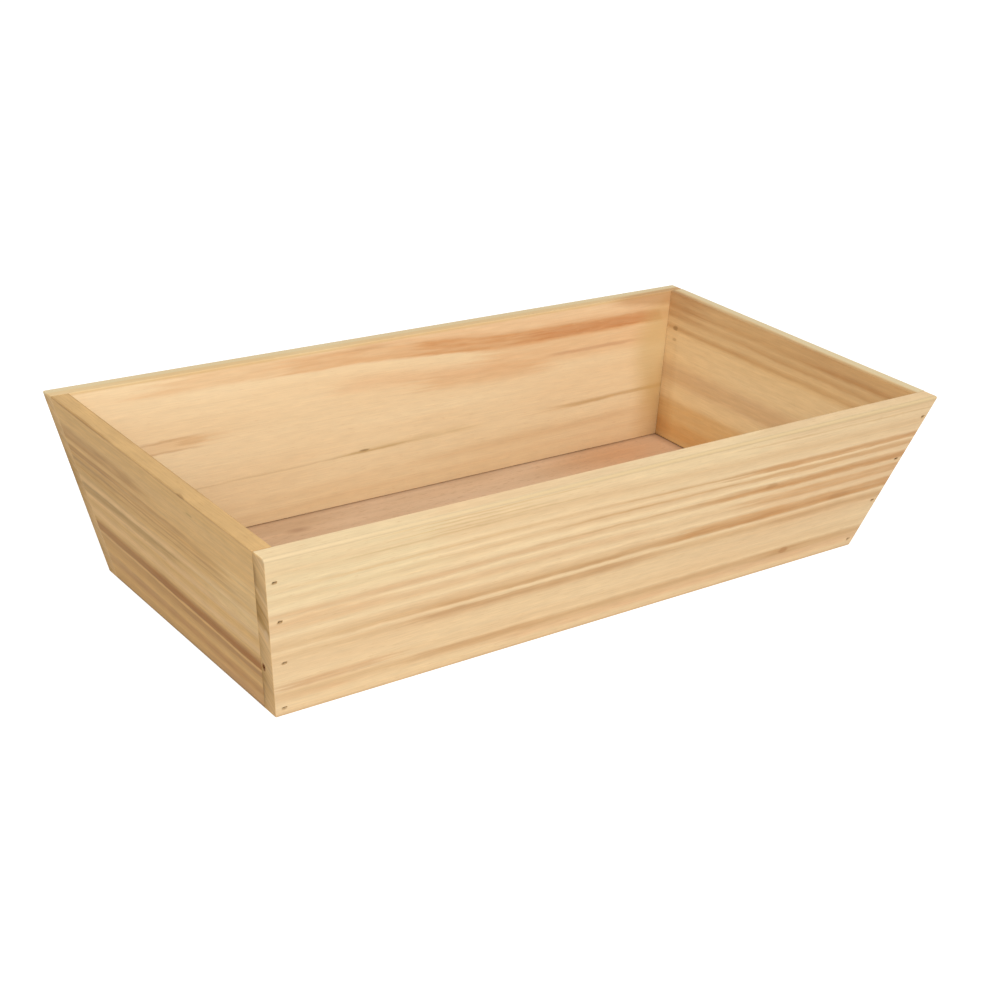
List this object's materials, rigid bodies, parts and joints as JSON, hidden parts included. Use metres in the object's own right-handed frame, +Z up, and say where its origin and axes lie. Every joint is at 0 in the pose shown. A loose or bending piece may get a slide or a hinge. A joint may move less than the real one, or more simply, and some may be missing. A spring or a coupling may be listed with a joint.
{
  "type": "wooden tray",
  "caption": "Open rectangular wooden tray with outward-sloping sides, lapped and bradded corner joints, and a thin plywood floor held in a groove",
  "frame": {"origin": "centre of the base, on the plane the tray stands on", "axes": "+X along the length, -Y towards the front board of the picture, +Z up through the open mouth"},
  "size_m": [0.3998, 0.2044, 0.09],
  "materials": {
    "board_wood": "sanded, unfinished",
    "floor_plywood": "sanded, unfinished",
    "brad_steel": "bright wire"
  },
  "bodies": {
    "root": {"front_board": "board_wood", "back_board": "board_wood", "left_end_board": "board_wood", "right_end_board": "board_wood", "floor_panel": "floor_plywood", "brad_front_left_1": "brad_steel", "brad_front_left_2": "brad_steel", "brad_front_left_3": "brad_steel", "brad_front_left_4": "brad_steel", "brad_front_right_1": "brad_steel", "brad_front_right_2": "brad_steel", "brad_front_right_3": "brad_steel", "brad_front_right_4": "brad_steel", "brad_back_left_1": "brad_steel", "brad_back_left_2": "brad_steel", "brad_back_left_3": "brad_steel", "brad_back_left_4": "brad_steel", "brad_back_right_1": "brad_steel", "brad_back_right_2": "brad_steel", "brad_back_right_3": "brad_steel", "brad_back_right_4": "brad_steel"}
  },
  "joints": []
}
